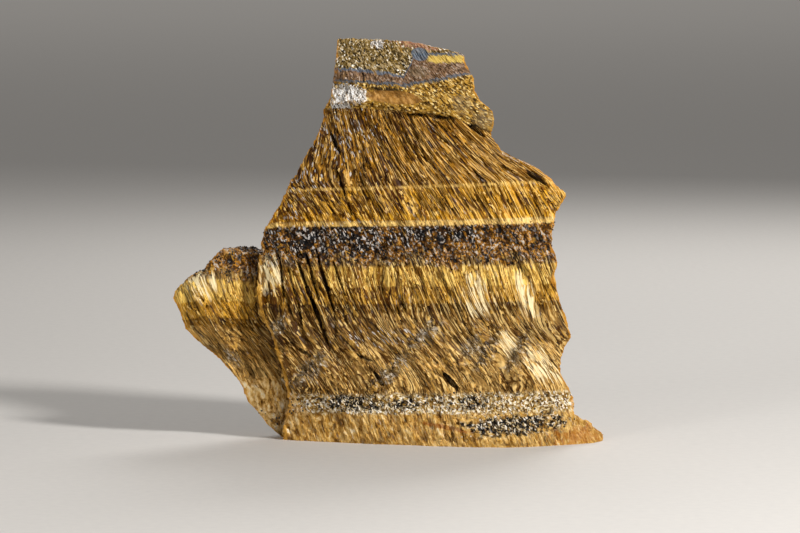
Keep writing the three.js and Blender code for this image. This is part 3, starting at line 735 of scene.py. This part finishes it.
    underCrumb = add("ShaderNodeMapRange", [crumbPlace, crumbEdges["high"] + 0.4, crumbEdges["high"] - 0.4])
    inCrumb = add("ShaderNodeMath", [inCrumb, underCrumb], operation="MULTIPLY")
    blackColour = add("ShaderNodeValToRGB", [granules[2]], stops=[
        (0.0, "#0c0a09"), (0.5, "#1c1713"), (0.62, "#5a4526"), (0.76, "#c0a878"), (1.0, "#eee6d8")])
    blackPlace = add("ShaderNodeMath", [ragged, 2.2, spot["blackCrumb"]], operation="MULTIPLY_ADD")

    # painted glints: pale grey specks, more of them in the glint spots
    silver = add("ShaderNodeMapRange", [spot["silver"], -0.2, 0.6, -0.02, 0.1])
    silver = add("ShaderNodeMath", [silver, sparks[1]], operation="ADD")
    # painted sheen: cream streaks along the fibres on the flash facets
    flashed = add("ShaderNodeMath", [coarse[2], 0.9, spot["flash"]], operation="MULTIPLY_ADD")
    flashed = add("ShaderNodeMapRange", [flashed, 0.4, 0.8])
    flashLight = add("ShaderNodeMapRange", [hairs, 0.44, 0.54, 0.05, 1.0])
    greyed = add("ShaderNodeMath", [ragged, 2.0, spot["grey"]], operation="MULTIPLY_ADD")
    greyed = add("ShaderNodeMapRange", [greyed, -0.1, 0.4])
    greyColour = add("ShaderNodeValToRGB", [granules[0]], stops=[
        (0.0, "#241a10"), (0.3, "#54452f"), (0.6, "#8a7552"), (0.8, "#a0937f"), (1.0, "#e0d8c8")])
    creamed = add("ShaderNodeMath", [ragged, 1.0, spot["cream"]], operation="MULTIPLY_ADD")
    creamColour = add("ShaderNodeValToRGB", [flaky], stops=[
        (0.42, "#6a4414"), (0.52, "#b4843a"), (0.62, "#e6bc70"), (0.74, "#ffe4ac"), (0.86, "#fff6e0")])

    # the cap: folded beds of ironstone, with a sugary quartz patch and a smooth honey lens
    wave = add("ShaderNodeMath", [ragged, 2.2, upper], operation="MULTIPLY_ADD")
    waveLow = add("ShaderNodeMath", [ragged, 2.2, lower], operation="MULTIPLY_ADD")
    flat = add("ShaderNodeVectorMath", [plain, (1 / 0.75, 1 / 0.75, 1 / 0.42)], operation="MULTIPLY")
    flecks = add("ShaderNodeTexVoronoi", {"Vector": flat, "Scale": 1.0}, output="Color")
    flecks = add("ShaderNodeSeparateColor", [flecks]).node.outputs
    capTop = add("ShaderNodeValToRGB", [flecks[0]], stops=[
        (0.0, "#1c1408"), (0.2, "#4a3812"), (0.5, "#7c6228"), (0.75, "#a0875a"), (0.9, "#bca67c"),
        (1.0, "#f2ead8")])
    capBed = add("ShaderNodeValToRGB", [flecks[1]], stops=[
        (0.0, "#46321e"), (0.4, "#70543a"), (0.8, "#8c6c50"), (1.0, "#b09c8a")])
    capLow = add("ShaderNodeValToRGB", [flecks[2]], stops=[
        (0.0, "#2e1c04"), (0.35, "#7a581a"), (0.75, "#bc9038"), (1.0, "#f0d490")])
    overBed = add("ShaderNodeMapRange", [wave, -0.2, 0.2])
    overLow = add("ShaderNodeMapRange", [waveLow, -0.2, 0.2])
    capColour = add("ShaderNodeMix", {0: overLow, 6: capLow, 7: capBed}, 2, data_type="RGBA")
    capColour = add("ShaderNodeMix", {0: overBed, 6: capColour, 7: capTop}, 2, data_type="RGBA")
    right = add("ShaderNodeMapRange", [x, 8.6, 9.6])
    yellowBed = add("ShaderNodeMapRange", [wave, -2.3, -1.9])
    notOver = add("ShaderNodeMapRange", [wave, 0.1, -0.1])
    yellowBed = add("ShaderNodeMath", [yellowBed, notOver], operation="MULTIPLY")
    yellowBed = add("ShaderNodeMath", [yellowBed, right], operation="MULTIPLY")
    lineWidths = []
    for height in (wave, waveLow):
        apart = add("ShaderNodeMath", [height], operation="ABSOLUTE")
        lineWidths.append(add("ShaderNodeMapRange", [apart, 0.5, 0.2, 0.0, 0.85]))
    quartzEdge = add("ShaderNodeMath", [ragged, 1.6, spot["quartz"]], operation="MULTIPLY_ADD")
    quartzColour = add("ShaderNodeValToRGB", [granules[1]], stops=[
        (0.0, "#5e4c38"), (0.25, "#aca294"), (0.6, "#dedad4"), (1.0, "#ffffff")])
    swirlEdge = add("ShaderNodeMath", [ragged, 2.2, spot["swirl"]], operation="MULTIPLY_ADD")
    crustEdge = add("ShaderNodeMath", [ragged, 2.2, spot["crust"]], operation="MULTIPLY_ADD")
    lensColour = add("ShaderNodeValToRGB", [lumps], stops=[
        (0.35, "#7c5420"), (0.5, "#a27232"), (0.65, "#c09050")])
    capColour = paint(capColour, [
        (yellowBed, "#cdae58"),
        (lineWidths[0], "#586270"),
        (lineWidths[1], "#545c66"),
        (add("ShaderNodeMapRange", [swirlEdge, -0.1, 0.3, 0.0, 0.45]), "#7a6a50"),
        (add("ShaderNodeMapRange", [crustEdge, 0.0, 0.3, 0.0, 0.7]), "#a4705c"),
        (add("ShaderNodeMapRange", [spot["wedge"], -0.05, 0.1, 0.0, 0.85]), "#5f6a76"),
        (add("ShaderNodeMapRange", [spot["lens"], -0.06, 0.06, 0.0, 0.9]), lensColour),
        (add("ShaderNodeMapRange", [quartzEdge, -0.1, 0.2]), quartzColour),
        # painted shade in the cap's hollows under the overhangs
        (add("ShaderNodeMapRange", [spot["hollow"], -0.2, 0.3, 0.0, 0.9]), "#120d0a"),
    ])
    inCap = add("ShaderNodeMath", [ragged, 1.5, capHeight], operation="MULTIPLY_ADD")

    # ridges get a painted gold highlight, the outline a painted orange glow and the edge of the main face
    # at the step a painted highlight; the bottoms of cracks and the lobe beside the step get painted shade
    pointed = add("ShaderNodeNewGeometry", output="Pointiness")
    rimGlowEdge = add("ShaderNodeMath", [ragged, 3.0, toEdge], operation="MULTIPLY_ADD")
    stepWave = add("ShaderNodeMath", [ragged, 1.6, toStep], operation="MULTIPLY_ADD")
    stepHighlight = add("ShaderNodeMath", [stepWave, 0.35], operation="SUBTRACT")
    stepHighlight = add("ShaderNodeMath", [stepHighlight], operation="ABSOLUTE")
    stepShade = add("ShaderNodeMapRange", [stepWave, -4.5, -0.6, 0.0, 0.55])
    stepShade = add("ShaderNodeMath", [stepShade, add("ShaderNodeMapRange", [stepWave, 0.0, -0.2])],
                   operation="MULTIPLY")
    rustEdge = add("ShaderNodeMath", [ragged, 1.4, spot["rust"]], operation="MULTIPLY_ADD")
    orangeEdge = add("ShaderNodeMath", [ragged, 2.4, spot["orange"]], operation="MULTIPLY_ADD")
    colour = paint(colour, [
        # painted glints: needles in their lit colour and pale gold specks
        (add("ShaderNodeMapRange", [sparks[0], 0.84, 0.9, 0.0, 0.7]), lit),
        (add("ShaderNodeMapRange", [sparks[0], 0.93, 0.97, 0.0, 0.6]), "#ffdc8e"),
        # painted shade: dark slits in the gaps between needles
        (add("ShaderNodeMapRange", [coarse[1], 0.14, 0.08, 0.0, 0.55]), "#1e0f02"),
        (add("ShaderNodeMapRange", [fine[2], 0.16, 0.1, 0.0, 0.55]), "#221002"),
        (add("ShaderNodeMapRange", [gapShade, 0.41, 0.35, 0.0, 0.75]), "#1c0d01"),
        (add("ShaderNodeMapRange", [brightHairs, 0.57, 0.64, 0.0, 0.85]), hairColour),
        (lines, "#f4c970"),
        (inFoot, footColour),
        (inSeam, seamColour),
        (seamSparks, "#cfc6bc"),
        (inCrumb, crumbColour),
        (add("ShaderNodeMapRange", [creamed, -0.06, 0.08, 0.0, 0.9]), creamColour),
        (add("ShaderNodeMath", [flashed, flashLight], operation="MULTIPLY"), "#fbe6b4"),
        (add("ShaderNodeMath", [greyed, 0.7], operation="MULTIPLY"), greyColour),
        (add("ShaderNodeMapRange", [blackPlace, -0.1, 0.25]), blackColour),
        (add("ShaderNodeMapRange", [silver, 0.965, 1.0, 0.0, 0.85]), "#c4beb8"),
        (add("ShaderNodeMapRange", [rustEdge, -0.1, 0.3, 0.0, 0.7]), "#8a4c14"),
        (add("ShaderNodeMapRange", [orangeEdge, 0.0, 0.4, 0.0, 0.55]), "#a8641c"),
        (add("ShaderNodeMapRange", [inCap, -0.1, 0.1]), capColour),
        # painted shade in the clefts, over their carved depth
        (add("ShaderNodeMapRange", [cleft, 0.3, 0.8, 0.0, 0.8]), "#17120f"),
        # painted shade on the lobe in the recess beside the step
        (stepShade, "#2a1602"),
        # painted highlight: a gold line along the main face's edge where it steps down to the lobe
        (add("ShaderNodeMapRange", [stepHighlight, 0.7, 0.2, 0.0, 0.6]), "#e2a63e"),
        # painted orange glow along the outline, as if light came through the thin edges
        (add("ShaderNodeMapRange", [rimGlowEdge, 0.55, 0.1, 0.0, 0.6]), "#cf8a20"),
        # painted highlight on convex ridges and painted shade in concave creases, read from pointiness
        (add("ShaderNodeMapRange", [pointed, 0.53, 0.6, 0.0, 0.4]), "#e0aa44"),
        (add("ShaderNodeMapRange", [pointed, 0.47, 0.4, 0.0, 0.75]), "#1c0e02"),
        (add("ShaderNodeMapRange", [chance, 0.3, 1.0, 0.0, 0.5]), lit),
    ])

    bumpHeight = add("ShaderNodeMath", [threads, fine[0]], operation="ADD")
    bump = add("ShaderNodeBump", {"Strength": 0.5, "Distance": 0.2 * mm, "Height": bumpHeight})
    gloss = add("ShaderNodeMapRange", [fine[1], 0.0, 1.0, 0.58, 0.3])
    shader = add("ShaderNodeBsdfPrincipled",
                 {"Base Color": colour, "Roughness": gloss, "IOR": 1.544,
                  "Specular IOR Level": 0.12, "Normal": bump})
    add("ShaderNodeOutputMaterial", [shader])
    return material


# Crumbs of goethite and quartz: dull black, rusty brown and sugary white grains
def crumbs():
    material, add = newMaterial("goethite_quartz_grains")
    chance = add("ShaderNodeAttribute", output="Fac", attribute_name="chance")
    paleness = add("ShaderNodeAttribute", output="Fac", attribute_name="paleness")
    place = add("ShaderNodeTexCoord", output="Object")
    mottle = add("ShaderNodeTexNoise", {"Vector": place, "Scale": 1 / (0.3 * mm), "Detail": 2.0})
    kind = add("ShaderNodeMath", [chance, paleness], operation="ADD")
    kind = add("ShaderNodeMath", [mottle, 0.2, kind], operation="MULTIPLY_ADD")
    kind = add("ShaderNodeMath", [kind, 0.1], operation="SUBTRACT")
    colour = add("ShaderNodeValToRGB", [kind], stops=[
        (0.0, "#0a0807"), (0.46, "#120d0a"), (0.54, "#3c2408"), (0.68, "#7c5418"), (0.84, "#b48a40"),
        (0.92, "#cdbb98"), (1.0, "#ece6dc")])
    gloss = add("ShaderNodeMapRange", [mottle, 0.3, 0.7, 0.3, 0.6])
    shader = add("ShaderNodeBsdfPrincipled", {"Base Color": colour, "Roughness": gloss, "IOR": 1.55})
    add("ShaderNodeOutputMaterial", [shader])
    return material


# Plain pale table and soft studio light
studio = {
    "floor": 14.0,  # metres
    "floorColour": "#c9c4be",
    "fleckColour": "#d2cdc6",
    "fleck": 2.5,
    "worldColour": "#f0eeec",
    "clipEnd": 20,  # metres
    "aim": (2.25, -12, 44.6),
    "distance": 1110,
    "elevation": 5,
    "lens": 200,
    "world": 0.1,
}
lamps = [  # name, place, what it points at and size in metres, watts
    ("key", (0.42, -0.42, 0.46), (0, 0, 0.05), 0.12, 5.3),
    ("fill", (-0.46, -0.62, 0.3), (0, 0, 0.05), 0.26, 1.6),
    ("back", (0.2, 0.6, 0.5), (0, 0, 0.05), 0.4, 2.4),
    ("wash", (0, 4.5, 3.5), (0, 4.5, 0), 5.0, 60.0),
]


# Matt board: an even pale ground with a faint fleck
def paleFloor():
    material, add = newMaterial("matt_board")
    place = add("ShaderNodeTexCoord", output="Object")
    fleck = add("ShaderNodeTexNoise", {"Vector": place, "Scale": 1 / (studio["fleck"] * mm), "Detail": 2.0})
    ground, flecks = linear(studio["floorColour"]), linear(studio["fleckColour"])
    colour = add("ShaderNodeMix", {0: fleck, 6: ground, 7: flecks}, 2, data_type="RGBA")
    shader = add("ShaderNodeBsdfPrincipled", {"Base Color": colour, "Roughness": 0.8})
    add("ShaderNodeOutputMaterial", [shader])
    return material


def makeStudio():
    half = studio["floor"] / 2
    mesh = bpy.data.meshes.new("table")
    corners = [(-half, -half, 0), (half, -half, 0), (half, half, 0), (-half, half, 0)]
    mesh.from_pydata(corners, [], [(0, 1, 2, 3)])
    table = newObject("table", mesh)
    mesh.materials.append(paleFloor())
    for name, place, target, size, watts in lamps:
        light = bpy.data.lights.new(name, "AREA")
        light.shape = "DISK"
        light.size = size
        light.energy = watts
        lamp = newObject(name, light)
        lamp.location = place
        lamp.rotation_euler = (Vector(target) - Vector(place)).to_track_quat("-Z", "Y").to_euler()
    world = bpy.data.worlds.new("studio")
    bpy.context.scene.world = world
    world.use_nodes = True
    world.node_tree.nodes["Background"].inputs["Color"].default_value = linear(studio["worldColour"])
    world.node_tree.nodes["Background"].inputs["Strength"].default_value = studio["world"]
    camera = bpy.data.cameras.new("camera")
    camera.lens = studio["lens"]
    camera.clip_end = studio["clipEnd"]
    view = newObject("camera", camera)
    up = math.radians(studio["elevation"])
    back = Vector((0, -math.cos(up), math.sin(up)))
    view.location = (Vector(studio["aim"]) + back * studio["distance"]) * mm
    view.rotation_euler = (-back).to_track_quat("-Z", "Y").to_euler()
    bpy.context.scene.camera = view
    bpy.context.scene.view_settings.view_transform = "Standard"


stoneFinish = tigersEye()
stone, outline = makeSkin(stoneFinish)
fibreEnds = scatter("fibre_ends", splinterTree(stoneFinish), splinters, stone, outline)
seamGrains = scatter("seam_grains", grainTree(crumbs()), grains, stone, outline)
for piece in (stone, fibreEnds, seamGrains):
    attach(piece, "root")
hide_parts("stone")
makeStudio()
print("studio: done")
